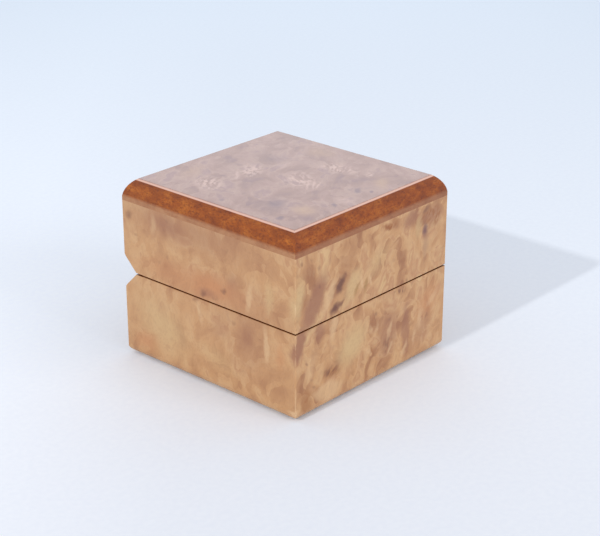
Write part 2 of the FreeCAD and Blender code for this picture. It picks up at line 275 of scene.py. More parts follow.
# The strongest figure, mark by mark: face, mm to the right of its middle line and up from the box's foot,
# half length and half breadth in mm, tilt in degrees, tone, strength and softness
side_broad_marks = [
    ("left", -10, 68, 70, 14, 0, "mauve", 0.5, 1.0),
    ("left", 14, 46, 60, 14, 0, "mauve", 0.3, 1.0),
    ("left", 24, 26, 24, 20, 85, "mauve", 0.3, 1.0),
    ("left", -24, 67, 17, 7, -10, "mauve", 0.6, 1.0),
    ("left", -31, 66, 7, 2.4, 80, "pale", 0.4, 0.9),
    ("left", 15, 51, 10, 5, 85, "mauve", 0.5, 1.0),
    ("left", 3, 47, 16, 9, 10, "rose", 0.75, 1.0),
    ("left", -4, 46, 50, 10, 0, "rose", 0.5, 0.8),
    ("left", 25, 48, 9, 2.6, 80, "pale", 0.6, 0.7),
    ("left", 36, 52, 11, 3.6, 88, "straw", 0.6, 0.9),
    ("left", 23, 31, 11, 6.5, 85, "mauve", 0.4, 0.8),
    ("left", 34, 30, 11, 2.2, 94, "pale", 0.7, 0.7),
    ("left", 42, 28, 10, 4, 85, "rose", 0.5, 0.9),
    ("left", -4, 33, 8, 2.2, 100, "pale", 0.5, 0.8),
    ("left", 7, 30, 12, 8, 60, "mauve", 0.32, 1.0),
    ("left", -27, 20, 26, 17, -25, "straw", 0.75, 1.0),
    ("left", 6, 15, 16, 8, -15, "straw", 0.35, 1.0),
    ("left", -38, 9, 11, 7, 10, "rose", 0.7, 1.0),
    ("front", -37.5, 50, 17, 6.4, 60, "mauve", 0.85, 0.6),
    ("front", -47, 54, 13, 4.4, 78, "straw", 0.85, 0.8),
    ("front", -28.5, 50, 11, 3.4, 58, "pale", 0.7, 0.7),
    ("front", -14, 50, 11, 6, 60, "straw", 0.85, 0.8),
    ("front", 2, 56, 13, 7, 30, "straw", 0.5, 1.0),
    ("front", 24, 68.5, 8, 5, 20, "mauve", 0.75, 0.7),
    ("front", 29, 63, 8, 3, 80, "straw", 0.6, 0.8),
    ("front", 39, 66, 11, 8, 0, "mauve", 0.65, 0.9),
    ("front", 34.4, 53, 9, 2.6, 90, "plum", 0.3, 1.0),
    ("front", -46.5, 34, 10, 3.6, 75, "mauve", 0.85, 0.5),
    ("front", -34.5, 36, 7, 4.4, 75, "mauve", 0.7, 0.7),
    ("front", -25.5, 36, 7, 3.2, 80, "pale", 0.7, 0.7),
    ("front", -14, 23, 15, 10, 35, "straw", 0.95, 0.8),
    ("front", -40, 22, 11, 5, 70, "pale", 0.45, 0.9),
    ("front", 10, 20, 17, 10, 80, "mauve", 0.6, 0.8),
    ("front", 22, 17, 16, 3.4, 92, "mauve", 0.6, 0.5),
    ("front", 37, 26, 14, 9, 50, "rose", 0.6, 0.9),
    ("front", 33, 14, 13, 9, 60, "mauve", 0.4, 1.0),
    ("front", 32, 20, 7, 2.6, 82, "pale", 0.55, 0.9),
    ("front", 40.5, 27, 7, 2.6, 40, "pale", 0.5, 0.9),
    ("front", -43, 7, 9, 5, 105, "brown", 0.65, 0.7),
    ("front", -29, 7.5, 11, 5.6, -6, "pale", 0.7, 0.5),
    ("right", -28, 56, 16, 8, 70, "mauve", 0.5, 0.9),
    ("right", 16, 64, 18, 8, 10, "straw", 0.7, 0.9),
    ("right", 30, 48, 12, 6, 60, "rose", 0.6, 0.9),
    ("right", -12, 24, 18, 9, 40, "straw", 0.7, 0.9),
    ("right", 22, 18, 14, 5, 80, "mauve", 0.6, 0.8),
    ("right", -38, 14, 12, 3, 85, "pale", 0.6, 0.8),
    ("back", -30, 62, 15, 7, 60, "mauve", 0.6, 0.8),
    ("back", 14, 58, 16, 8, 30, "straw", 0.7, 0.9),
    ("back", -8, 18, 16, 8, 40, "straw", 0.7, 0.9),
    ("back", 32, 20, 14, 6, 75, "mauve", 0.6, 0.8),
    ("back", -36, 18, 12, 5, 50, "rose", 0.6, 0.9),
]
side_fine_marks = [
    ("left", -46, 66.5, 3.4, 2.2, 70, "eye", 0.5, 1.0),
    ("left", 1, 43.6, 8, 3, 0, "mauve", 0.6, 1.0),
    ("left", -1.5, 42.6, 3.4, 2.1, 30, "eye", 0.6, 1.0),
    ("left", 5.4, 42.4, 3.4, 1.5, 10, "flecked eye", 0.4, 1.0),
    ("left", 10.2, 47.6, 2.6, 1.8, 10, "eye", 0.6, 1.0),
    ("left", -6, 38.4, 3, 1.4, 20, "eye", 0.3, 1.0),
    ("front", -21.4, 53.2, 5.6, 2.8, 58, "eye", 0.9, 0.7),
    ("front", -24.8, 43.5, 5.2, 2.8, 25, "eye", 0.9, 0.8),
    ("front", -21, 45.2, 3.6, 1.4, 35, "eye", 0.7, 0.9),
    ("front", -11, 47.5, 5, 1.5, 65, "olive", 0.7, 0.9),
    ("front", -8, 50, 5, 1.4, 105, "pale", 0.8, 0.9),
    ("front", -5.5, 47.5, 4.6, 1.5, 75, "olive", 0.7, 0.9),
    ("front", -2.6, 49, 4, 1.3, 110, "pale", 0.7, 0.9),
    ("front", 7.5, 46, 3.6, 2.4, 60, "flecked brown", 0.6, 0.9),
    ("front", 9.6, 69.6, 7.6, 2.6, 0, "flecked brown", 1.0, 0.8),
    ("front", 37.5, 67, 9, 6, 10, "flecked brown", 0.85, 1.0),
    ("front", 34, 69.8, 4, 2, 30, "eye", 0.6, 1.0),
    ("front", 42, 64, 5, 2.8, 60, "flecked brown", 0.85, 1.0),
    ("front", 33.7, 60.6, 5, 2.4, 95, "plum", 0.85, 1.0),
    ("front", -1.5, 25.5, 5.2, 1.7, -60, "pale", 0.5, 1.0),
    ("front", 2.4, 25, 4.6, 1.7, 70, "pale", 0.5, 1.0),
    ("front", -3, 16.5, 4.6, 1.7, -66, "pale", 0.55, 1.0),
    ("front", -1, 15.8, 4.4, 1.1, -66, "brown", 0.5, 0.9),
    ("front", -26.5, 15, 8.6, 4, -8, "brown", 0.6, 1.0),
    ("front", -27, 15.4, 7, 3.4, -8, "flecked eye", 0.75, 0.9),
    ("front", 9, 15, 6, 5, 90, "flecked eye", 0.5, 0.9),
    ("front", 11, 22, 6, 1.7, 70, "pale", 0.6, 0.8),
    ("front", 11.4, 12.6, 4.6, 1.4, 60, "pale", 0.6, 0.8),
    ("front", 21.5, 8.5, 5.6, 1.7, 65, "pale", 0.6, 0.8),
    ("front", 28, 12, 5, 1.5, 75, "pale", 0.5, 0.8),
    ("front", 35, 19, 4, 2.4, 40, "flecked eye", 0.4, 0.9),
    ("front", 17, 37, 7, 2.4, 0, "flecked eye", 0.75, 0.9),
    ("front", -48.6, 4.2, 1.6, 0.9, 90, "pale", 0.9, 0.6),
    ("right", -22, 62, 5, 2.6, 60, "eye", 0.8, 0.8),
    ("right", -18, 52, 4.6, 2.4, 30, "eye", 0.7, 0.9),
    ("right", 26, 56, 8, 5, 20, "flecked brown", 0.8, 0.9),
    ("right", 24, 12, 7, 4, 70, "flecked eye", 0.6, 0.9),
    ("right", -30, 28, 3, 2, 20, "eye", 0.6, 1.0),
    ("back", -24, 66, 5, 2.6, 50, "eye", 0.8, 0.8),
    ("back", 34, 64, 8, 5, 10, "flecked brown", 0.8, 0.9),
    ("back", 28, 12, 5, 2.4, 70, "eye", 0.7, 0.9),
    ("back", -16, 12, 8, 4, 0, "flecked brown", 0.7, 0.9),
]

# Burl veneer under gloss lacquer: warm tan with mauve-brown figure, seen through a clear hard coat
lacquered_burl, tree, shader, spot = new_material(
    "lacquered_burl_veneer", Roughness=0.5, Specular_IOR_Level=0.0, Coat_Weight=0.7, Coat_Roughness=0.1)
side_lean = (0, radians(22), 0)
colour = burl_figure(tree, spot, side_tones, side_broad_marks, side_fine_marks, side_lean,
                     swirl=4.0, vigour=1.0, quiet=0.55)

# A pale line down the upright arrises, here and there: partly painted highlight, partly wear
arris_reach, arris_patch_length, arris_highlight_strength = 0.5, 4.0, 0.4
xyz = node(tree, "ShaderNodeSeparateXYZ", {0: spot})
near_corner = []
set_in = []
for axis, reach in (("X", half_width), ("Y", half_depth)):
    out = node(tree, "ShaderNodeMath", {0: xyz.outputs[axis]}, operation="ABSOLUTE").outputs[0]
    set_in.append(node(tree, "ShaderNodeMath", {0: reach, 1: out}, operation="SUBTRACT").outputs[0])
    near_corner.append(node(tree, "ShaderNodeMapRange", {
        "Value": out, "From Min": reach - arris_reach, "From Max": reach - arris_reach / 2}).outputs[0])
arris_highlight_and_wear = node(tree, "ShaderNodeMath", {
    0: near_corner[0], 1: near_corner[1]}, operation="MULTIPLY").outputs[0]
arris_patchiness = node(tree, "ShaderNodeTexNoise", {"Vector": spot, "Scale": 1 / arris_patch_length, "Detail": 2.0})
arris_patches = node(tree, "ShaderNodeMapRange", {
    "Value": arris_patchiness.outputs["Fac"], "From Min": 0.4, "From Max": 0.65,
    "To Max": arris_highlight_strength}).outputs[0]
arris_highlight_and_wear = node(tree, "ShaderNodeMath", {0: arris_highlight_and_wear, 1: arris_patches}, operation="MULTIPLY").outputs[0]
colour = node(tree, "ShaderNodeMix", {
    0: arris_highlight_and_wear, 6: colour, 7: linear("#DFBF96")}, data_type="RGBA").outputs[2]

# The sawn rims lie level and close to the seam, and the groove's slopes lie along the back. Both are told
# from the upright faces by how far the surface faces up or down.
groove_reach, groove_fade = 12.0, 1.0
facing = node(tree, "ShaderNodeSeparateXYZ", {0: node(tree, "ShaderNodeTexCoord").outputs["Normal"]})
level = node(tree, "ShaderNodeMath", {0: facing.outputs["Z"]}, operation="ABSOLUTE").outputs[0]
rise = node(tree, "ShaderNodeMath", {0: xyz.outputs["Z"], 1: seam}, operation="SUBTRACT").outputs[0]
off_seam = node(tree, "ShaderNodeMath", {0: rise}, operation="ABSOLUTE").outputs[0]
sawn = node(tree, "ShaderNodeMapRange", {"Value": level, "From Min": 0.75, "From Max": 0.9}).outputs[0]
sloping = node(tree, "ShaderNodeMapRange", {
    "Value": level, "From Min": 0.25, "From Max": 0.45}).outputs[0]
groove_start = half_depth - groove_reach
at_back = node(tree, "ShaderNodeMapRange", {
    "Value": xyz.outputs["Y"], "From Min": groove_start,
    "From Max": groove_start + groove_fade}).outputs[0]
sloping = node(tree, "ShaderNodeMath", {0: sloping, 1: at_back}, operation="MULTIPLY").outputs[0]
cut = node(tree, "ShaderNodeMath", {0: sawn, 1: sloping}, operation="MAXIMUM").outputs[0]
by_seam = node(tree, "ShaderNodeMapRange", {
    "Value": off_seam, "From Min": groove_reach, "From Max": groove_reach - groove_fade}).outputs[0]
cut = node(tree, "ShaderNodeMath", {0: cut, 1: by_seam}, operation="MULTIPLY").outputs[0]
stain_size = 1.5
stain_grain = node(tree, "ShaderNodeTexNoise", {"Vector": spot, "Scale": 1 / stain_size, "Detail": 3.0})
stain = node(tree, "ShaderNodeValToRGB", {"Fac": stain_grain.outputs["Fac"]},
             stops=((0.3, "#6C3810"), (0.7, "#84481A"))).outputs[0]

# The boards meet at mitres, which show on the rims as fine dark lines
mitre_width, mitre_strength = 0.5, 0.8
off_mitre = node(tree, "ShaderNodeMath", {0: set_in[0], 1: set_in[1]}, operation="SUBTRACT").outputs[0]
off_mitre = node(tree, "ShaderNodeMath", {0: off_mitre}, operation="ABSOLUTE").outputs[0]
mitre = node(tree, "ShaderNodeMapRange", {
    "Value": off_mitre, "From Min": mitre_width / 2, "From Max": mitre_width / 4,
    "To Max": mitre_strength}).outputs[0]
stain = node(tree, "ShaderNodeMix", {
    0: mitre, 6: stain, 7: linear("#3A1C08")}, data_type="RGBA").outputs[2]

# The stain bleeds a little way over the edges of the seam
half_seam, bleed_reach, bleed_strength = (lid_rim - base_rim) / 2, 0.3, 0.5
bled = node(tree, "ShaderNodeMapRange", {
    "Value": off_seam, "From Min": half_seam + bleed_reach, "From Max": half_seam,
    "To Max": bleed_strength}).outputs[0]
cut = node(tree, "ShaderNodeMath", {0: cut, 1: bled}, operation="MAXIMUM").outputs[0]
colour = node(tree, "ShaderNodeMix", {0: cut, 6: colour, 7: stain}, data_type="RGBA").outputs[2]
tree.links.new(colour, shader.inputs["Base Color"])

sides = ("front", "back", "left", "right")
finish_nodes(lacquered_burl, *[f"{half}_{side}_wall" for half in ("base", "lid") for side in sides])


# Lipping round the lid's top: four hardwood strips, mitred at the corners and moulded by one pass of a
# round cutter. They are stained red-brown and lacquered with the rest.

lipping_foot, lipping_top = (corner.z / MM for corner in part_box("lid_lipping_front"))
pore_width, pore_length = 0.7, 1.3
edge_fade, foot_start, foot_full = 3.0, 2.9, 1.6
# Dark brown of the pores, also laid on as painted shade along the strip's edges
pore_and_shade_brown = "#642905"


def stained_lipping(name, pore_size, tones, foot_tone):
    """Stained open-pored hardwood: orange-brown, with dark pores that run along the strip.

    The pores are drawn coarser than they are so that they show.
    """
    material, tree, shader, spot = new_material(
        name, Roughness=0.5, Specular_IOR_Level=0.0, Coat_Weight=0.8, Coat_Roughness=0.12)
    drawn = node(tree, "ShaderNodeMapping", {
        "Vector": spot, "Scale": pore_size}, vector_type="TEXTURE").outputs[0]
    tones_per_pore = 0.15
    tone = node(tree, "ShaderNodeTexNoise", {
        "Vector": drawn, "Scale": tones_per_pore, "Detail": 5.0, "Roughness": 0.75})
    colour = node(tree, "ShaderNodeValToRGB", {"Fac": tone.outputs["Fac"]}, stops=tones).outputs[0]
    pores = node(tree, "ShaderNodeTexNoise", {
        "Vector": drawn, "Scale": 1.0, "Detail": 2.0, "Roughness": 0.7})
    pore = node(tree, "ShaderNodeMapRange", {
        "Value": pores.outputs["Fac"], "From Min": 0.5, "From Max": 0.72, "To Max": 0.75}).outputs[0]
    colour = node(tree, "ShaderNodeMix", {
        0: pore, 6: colour, 7: linear(pore_and_shade_brown)}, data_type="RGBA").outputs[2]

    # Painted shade darkens the strip towards both its edges, and its foot is paler
    height = node(tree, "ShaderNodeSeparateXYZ", {0: spot}).outputs["Z"]
    upper = node(tree, "ShaderNodeMapRange", {
        "Value": height, "From Min": lipping_top - edge_fade, "From Max": lipping_top,
        "To Max": 0.3}).outputs[0]
    foot_edge = lipping_foot + foot_start
    lower = node(tree, "ShaderNodeMapRange", {
        "Value": height, "From Min": foot_edge + edge_fade, "From Max": foot_edge,
        "To Max": 0.22}).outputs[0]
    painted_edge_shade = node(tree, "ShaderNodeMath", {0: upper, 1: lower}, operation="MAXIMUM").outputs[0]
    colour = node(tree, "ShaderNodeMix", {
        0: painted_edge_shade, 6: colour, 7: linear(pore_and_shade_brown)}, data_type="RGBA").outputs[2]
    foot = node(tree, "ShaderNodeMapRange", {
        "Value": height, "From Min": foot_edge, "From Max": lipping_foot + foot_full}).outputs[0]
    uneven = node(tree, "ShaderNodeMapRange", {
        "Value": tone.outputs["Fac"], "From Min": 0.38, "From Max": 0.6, "To Min": 0.55,
        "To Max": 0.88}).outputs[0]
    foot = node(tree, "ShaderNodeMath", {0: foot, 1: uneven}, operation="MULTIPLY").outputs[0]
    colour = node(tree, "ShaderNodeMix", {
        0: foot, 6: colour, 7: linear(foot_tone)}, data_type="RGBA").outputs[2]
    tree.links.new(colour, shader.inputs["Base Color"])
    return material


# The strips before and behind are given darker tones than the two along the sides
across_tones = ((0.32, "#783408"), (0.5, "#984A0E"), (0.68, "#B6661E"))
along_tones = ((0.32, "#823C08"), (0.5, "#A0500E"), (0.68, "#C06E20"))
across_strip = stained_lipping("stained_hardwood_across", (pore_length, pore_width, pore_width),
                               across_tones, foot_tone="#A3704E")
along_strip = stained_lipping("stained_hardwood_along", (pore_width, pore_length, pore_width),
                              along_tones, foot_tone="#B4835C")
finish_nodes(across_strip, "lid_lipping_front", "lid_lipping_back")
finish_nodes(along_strip, "lid_lipping_left", "lid_lipping_right")


# Top sheet of the lid: a darker, mauver leaf of burl laid over the panel and the lipping and trimmed
# flush with the moulding. Its arris shows a thin pale line of painted highlight.

top_tones = {
    "patches": ((0.28, "#96706B"), (0.42, "#A67F70"), (0.52, "#AF887B"), (0.60, "#B69181"),
                (0.68, "#A47E78"), (0.80, "#BA957F")),
    "pale": "#D8B3A3", "straw": "#C29A7A", "mauve": "#8F6A60", "eye": "#7C5E5D", "plum": "#785A64",
}

# Marks on the top are placed from its middle, to the right and towards the back
top_broad_marks = [
    ("top", -28, -20, 14, 9, 40, "plum", 0.35, 1.0),
    ("top", -27, -20, 6, 4.4, 20, "plum", 0.45, 0.9),
    ("top", 42, 36, 14, 12, 60, "mauve", 0.4, 1.0),
    ("top", 14, 18, 9, 7, 60, "plum", 0.3, 1.0),
    ("top", -25, -33, 10, 7, 70, "straw", 0.75, 1.0),
    ("top", -6, -37, 9, 5, 80, "pale", 0.5, 1.0),
    ("top", 21, -36, 10, 5, 40, "straw", 0.75, 1.0),
    ("top", 34, 10, 12, 9, 60, "straw", 0.5, 1.0),
    ("top", -22, 34, 14, 6, 20, "straw", 0.4, 1.0),
    ("top", 12, 24, 14, 7, 40, "mauve", 0.4, 1.0),
]
top_fine_marks = [
    ("top", -38, -32, 3.2, 2, 35, "plum", 0.7, 0.8),
    ("top", 7, -34.5, 4.2, 2.4, 30, "plum", 0.7, 0.8),
    ("top", -12, -38, 3.4, 1.9, 50, "plum", 0.7, 0.8),
    ("top", 10, -39.5, 2.6, 1.7, 30, "plum", 0.7, 0.8),
    ("top", -39, 0, 2.8, 2, 40, "plum", 0.5, 0.8),
    ("top", -28, 18, 12, 8, 60, "flecked pale", 0.9, 0.8),
    ("top", -4, 16, 12, 7, 40, "flecked pale", 0.8, 0.8),
    ("top", 1, -7, 13, 9, 35, "flecked pale", 0.95, 0.8),
    ("top", 23, -10, 13, 7, 100, "flecked pale", 0.8, 0.8),
    ("top", -2, -14, 9, 0.9, 40, "pale", 0.8, 1.0),
    ("top", 0, -16, 8, 0.9, 40, "pale", 0.8, 1.0),
    ("top", 1, -18, 6, 0.9, 40, "pale", 0.7, 1.0),
    ("top", -12, 17, 10, 1.2, 42, "pale", 0.6, 1.0),
    ("top", 10, 10, 7, 4, 10, "pale", 0.4, 1.0),
    ("top", 26, -26, 5, 3, 30, "flecked pale", 0.8, 0.8),
]

# Burl veneer under deep gloss lacquer: mauve-pink brown, with pale glints where the fibres stand on end
lacquered_top, tree, shader, spot = new_material(
    "lacquered_top_burl", Roughness=0.5, Specular_IOR_Level=0.0, Coat_Weight=1.0, Coat_Roughness=0.08)
top_lean = (0, radians(90), radians(40))
colour = burl_figure(tree, spot, top_tones, top_broad_marks, top_fine_marks, top_lean,
                     swirl=2.0, vigour=0.8, quiet=1.0)

# Down the trimmed edge the figure gives way to a pale painted highlight, then to the lipping's stain
height = node(tree, "ShaderNodeSeparateXYZ", {0: spot}).outputs["Z"]
eased, highlight_from, highlight_to, stained_from = (box_top - below for below in (0.02, 0.3, 0.55, 0.78))
trimmed = node(tree, "ShaderNodeMapRange", {
    "Value": height, "From Min": eased, "From Max": highlight_from}).outputs[0]
stained = node(tree, "ShaderNodeMapRange", {
    "Value": height, "From Min": highlight_to, "From Max": stained_from}).outputs[0]
edge = node(tree, "ShaderNodeMix", {
    0: stained, 6: linear("#E4B8A4"), 7: linear("#98501E")}, data_type="RGBA").outputs[2]
colour = node(tree, "ShaderNodeMix", {0: trimmed, 6: colour, 7: edge}, data_type="RGBA").outputs[2]
tree.links.new(colour, shader.inputs["Base Color"])
finish_nodes(lacquered_top, "lid_top_veneer")


# Floor of the base and panel of the lid: plain fibreboard, rebated into the walls and glued between the
# lipping strips. Linings, felt and veneer hide all but their edges.

# Fibreboard: sawn edges and faces of fine brown fibres pressed together, with darker specks
fibreboard, tree, shader, spot = new_material("fibreboard", Roughness=0.85, Specular_IOR_Level=0.3)
fibre_length, speck_size = 2.0, 0.7
fibres = node(tree, "ShaderNodeTexNoise", {
    "Vector": spot, "Scale": 1 / fibre_length, "Detail": 4.0, "Distortion": 1.5})
colour = node(tree, "ShaderNodeValToRGB", {"Fac": fibres.outputs["Fac"]},
              stops=((0.3, "#9C7E5E"), (0.5, "#B09372"), (0.7, "#BFA484"))).outputs[0]
specks = node(tree, "ShaderNodeTexVoronoi", {"Vector": spot, "Scale": 1 / speck_size})
speck = node(tree, "ShaderNodeMapRange", {
    "Value": specks.outputs["Distance"], "From Min": 0.3, "From Max": 0.1, "To Max": 0.4}).outputs[0]
colour = node(tree, "ShaderNodeMix", {
    0: speck, 6: colour, 7: linear("#7E6145")}, data_type="RGBA").outputs[2]
tree.links.new(colour, shader.inputs["Base Color"])
finish_nodes(fibreboard, "base_floor", "lid_top_panel")


# Underside felt: one sheet of pressed wool felt, cut a little smaller than the box and glued on, so that
# the box stands softly. Its edges are cut, not hemmed.

def slab_ticks(length, rounding, step):
    """Places of the grid lines along one side of a slab, close together where its edges round."""
    bend = [rounding * share for share in (0, 1 / 3, 2 / 3)]
    flat = length - 2 * rounding
    count = max(1, round(flat / step))
    middle = [rounding + flat * at / count for at in range(count + 1)]
    return bend + middle + [length - place for place in reversed(bend)]


def soft_slab(name, body, low, high, rounding, step, unevenness):
    """A closed skin with rounded edges and slightly uneven faces that fills a box, riding on a body."""
    rounding = Vector(rounding)
    size = high - low
    ticks = [slab_ticks(side, round_by, step) for side, round_by in zip(size, rounding)]
    ends = [len(places) - 1 for places in ticks]
    shape = bmesh.new()
    corners = {}

    # A point of the grid, made once: it lies on the rounding near an edge, and is sunk a little by a lump
    def corner(*index):
        if index not in corners:
            place = Vector([places[at] for places, at in zip(ticks, index)])
            core = Vector([min(max(p, r), side - r) for p, r, side in zip(place, rounding, size)])
            out = Vector([(p - c) / r for p, c, r in zip(place, core, rounding)]).normalized()
            place = core + Vector([o * r for o, r in zip(out, rounding)])
            lump_size = 9 * MM
            lump = 0.5 + 0.5 * noise.noise((low + place) / lump_size)
            corners[index] = shape.verts.new(low + place - out * unevenness * lump)
        return corners[index]

    for fixed in range(3):
        first, second = (fixed + 1) % 3, (fixed + 2) % 3
        for end in (0, ends[fixed]):
            for a in range(ends[first]):
                for b in range(ends[second]):
                    quad = []
                    for step_a, step_b in ((0, 0), (1, 0), (1, 1), (0, 1)):
                        index = [0, 0, 0]
                        index[fixed], index[first], index[second] = end, a + step_a, b + step_b
                        quad.append(corner(*index))
                    shape.faces.new(quad if end else quad[::-1])
    mesh = bpy.data.meshes.new(name)
    shape.to_mesh(mesh)
    shape.free()
    mesh.shade_smooth()
    piece = bpy.data.objects.new(name, mesh)
    bpy.context.scene.collection.objects.link(piece)
    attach(piece, body)
    return piece


# Pressed felt: dull dark brown, with pale and dark fibres lying every way, drawn coarser than they are
felt_cloth, tree, shader, spot = new_material("pressed_felt", Roughness=1.0, Specular_IOR_Level=0.1,
                                              Sheen_Weight=0.3, Sheen_Roughness=0.5)
fibre_width, fibre_height = 0.8, 0.2 * MM
fibres = node(tree, "ShaderNodeTexNoise", {
    "Vector": spot, "Scale": 1 / fibre_width, "Detail": 4.0, "Roughness": 0.7, "Distortion": 2.0})
colour = node(tree, "ShaderNodeValToRGB", {"Fac": fibres.outputs["Fac"]},
              stops=((0.3, "#2E1E15"), (0.5, "#432D20"), (0.7, "#5C4030"))).outputs[0]
tree.links.new(colour, shader.inputs["Base Color"])
bump = node(tree, "ShaderNodeBump", {
    "Strength": 0.5, "Distance": fibre_height, "Height": fibres.outputs["Fac"]})
tree.links.new(bump.outputs[0], shader.inputs["Normal"])

felt_round, felt_step = 0.2 * MM, 3 * MM
low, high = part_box("underside_felt")
felt = soft_slab("felt_sheet", "base", low, high, (felt_round,) * 3, felt_step, unevenness=0)
felt.data.materials.append(felt_cloth)
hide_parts("underside_felt")


# Hinges: two small brass hinges let into saw kerfs in the groove along the back. Each has two leaves with
# rolled knuckles that mesh round a drawn pin.

# Brass: rolled sheet with a light brushed polish, a little darker where it has tarnished
rolled_brass, tree, shader, spot = new_material("rolled_brass", Metallic=1.0)
brush_width, brush_length, tarnish_size = 0.5, 9.0, 4.0
brushed = node(tree, "ShaderNodeMapping", {
    "Vector": spot, "Scale": (brush_length, brush_width, brush_width)}, vector_type="TEXTURE").outputs[0]
lines = node(tree, "ShaderNodeTexNoise", {"Vector": brushed, "Scale": 1.0, "Detail": 3.0})
tarnish = node(tree, "ShaderNodeTexNoise", {"Vector": spot, "Scale": 1 / tarnish_size, "Detail": 4.0})
colour = node(tree, "ShaderNodeValToRGB", {"Fac": tarnish.outputs["Fac"]},
              stops=((0.35, "#B58A4A"), (0.5, "#D9B266"), (0.7, "#E3C07A"))).outputs[0]
tree.links.new(colour, shader.inputs["Base Color"])
gloss = node(tree, "ShaderNodeMapRange", {
    "Value": lines.outputs["Fac"], "From Min": 0.3, "From Max": 0.7, "To Min": 0.22,
    "To Max": 0.42}).outputs[0]
tree.links.new(gloss, shader.inputs["Roughness"])
finish_nodes(rolled_brass, *[f"hinge_{part}_{side}" for part in ("base_leaf", "lid_leaf", "pin")
                             for side in ("left", "right")])


# Brads: short steel wire pins driven through the wall and the hinge leaf, two to each leaf. Their ends
# finish flush under the lining.

# Drawn steel wire: cool grey metal, dulled here and there by a bloom of oxide
drawn_steel, tree, shader, spot = new_material("drawn_steel_wire", Metallic=1.0)
bloom_size = 0.6
bloom = node(tree, "ShaderNodeTexNoise", {"Vector": spot, "Scale": 1 / bloom_size, "Detail": 3.0})
colour = node(tree, "ShaderNodeValToRGB", {"Fac": bloom.outputs["Fac"]},
              stops=((0.3, "#8B8C90"), (0.7, "#B9BBBF"))).outputs[0]
tree.links.new(colour, shader.inputs["Base Color"])
gloss = node(tree, "ShaderNodeMapRange", {
    "Value": bloom.outputs["Fac"], "To Min": 0.3, "To Max": 0.6}).outputs[0]
tree.links.new(gloss, shader.inputs["Roughness"])
finish_nodes(drawn_steel, "base_hinge_brads", "lid_hinge_brads")


# Linings: thin cards wrapped in cream velvet, four pressed against the walls of each half and one laid on
# the floor. A stiffer covered board stands across the base as a divider.

# Short-pile velvet: soft cream that turns pale at grazing angles, with the nap brushed lighter and
# darker. Its pile is drawn coarser than it is so that it shows.
cream_velvet, tree, shader, spot = new_material(
    "cream_velvet", Roughness=0.95, Specular_IOR_Level=0.1, Sheen_Weight=0.55, Sheen_Roughness=0.35)
shader.inputs["Sheen Tint"].default_value = linear("#FFF3DF")
nap_size, pile_size, pile_height = 14.0, 0.7, 0.2 * MM
nap = node(tree, "ShaderNodeTexNoise", {
    "Vector": spot, "Scale": 1 / nap_size, "Detail": 3.0, "Distortion": 1.0})
colour = node(tree, "ShaderNodeValToRGB", {"Fac": nap.outputs["Fac"]},
              stops=((0.3, "#C6B193"), (0.5, "#D6C3A6"), (0.7, "#E0D0B6"))).outputs[0]
pile = node(tree, "ShaderNodeTexNoise", {"Vector": spot, "Scale": 1 / pile_size, "Detail": 2.0})
shade = node(tree, "ShaderNodeMapRange", {
    "Value": pile.outputs["Fac"], "From Min": 0.5, "From Max": 0.72, "To Max": 0.35}).outputs[0]
colour = node(tree, "ShaderNodeMix", {
    0: shade, 6: colour, 7: linear("#AF9877")}, data_type="RGBA").outputs[2]
tree.links.new(colour, shader.inputs["Base Color"])
bump = node(tree, "ShaderNodeBump", {
    "Strength": 0.4, "Distance": pile_height, "Height": pile.outputs["Fac"]})
tree.links.new(bump.outputs[0], shader.inputs["Normal"])

fold_round, velvet_step, velvet_lumps = 0.6 * MM, 2.2 * MM, 0.12 * MM
covered_cards = {f"{half}_lining_{side}": half for half in ("base", "lid") for side in sides}
covered_cards |= {"floor_lining": "base", "divider": "base"}
for name, half in covered_cards.items():
    low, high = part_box(name)
    card = soft_slab("velvet_" + name, half, low, high, (fold_round,) * 3, velvet_step,
                     velvet_lumps)
    card.data.materials.append(cream_velvet)
    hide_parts(name)


# Ring rolls: three foam bars in cream velvet, pressed side by side behind the divider, so that a ring is
# held in the cleft between two of them. The cover swells over the foam and is glued at the foot.

def stuffed(piece, voxel, cap, pressure, is_glued, low, high):
    """Swells a skin as its filling does: pressed out as cloth, held where glued, kept in its space.

    The cloth is simulated enlarged, where its solver is steadier. No point moves further than the cap.
    """
    enlarged, moments = 10, 20
    piece.data.transform(Matrix.Scale(enlarged, 4))
    weave = piece.modifiers.new("weave", "REMESH")
    weave.mode = "VOXEL"
    weave.voxel_size = voxel * enlarged
    seen_by = bpy.context.evaluated_depsgraph_get()
    piece.data = bpy.data.meshes.new_from_object(piece.evaluated_get(seen_by))
    piece.modifiers.clear()
    start = [vertex.co.copy() for vertex in piece.data.vertices]
    glue = piece.vertex_groups.new(name="glue")
    glue.add([at for at, place in enumerate(start) if is_glued(place / enlarged)], 1.0, "ADD")
    cover = piece.modifiers.new("cover", "CLOTH")
    cover.settings.quality = 6
    cover.settings.use_pressure = True
    cover.settings.uniform_pressure_force = pressure
    cover.settings.effector_weights.gravity = 0
    cover.settings.vertex_group_mass = "glue"
    for moment in range(1, moments + 1):
        bpy.context.scene.frame_set(moment)
    seen_by = bpy.context.evaluated_depsgraph_get()
    swollen = piece.evaluated_get(seen_by).to_mesh()
    moved = [vertex.co.copy() for vertex in swollen.vertices]
    piece.modifiers.clear()
    piece.vertex_groups.clear()
    bpy.context.scene.frame_set(1)
    for vertex, place, there in zip(piece.data.vertices, start, moved):
        move = there - place
        move *= min(1, cap * enlarged / max(move.length, 1e-9))
        vertex.co = place + move
    piece.data.transform(Matrix.Scale(1 / enlarged, 4))
    for vertex in piece.data.vertices:
        vertex.co = [min(max(p, a), b) for p, a, b in zip(vertex.co, low, high)]
    piece.data.shade_smooth()
    piece.modifiers.new("smooth", "SUBSURF").levels = 1


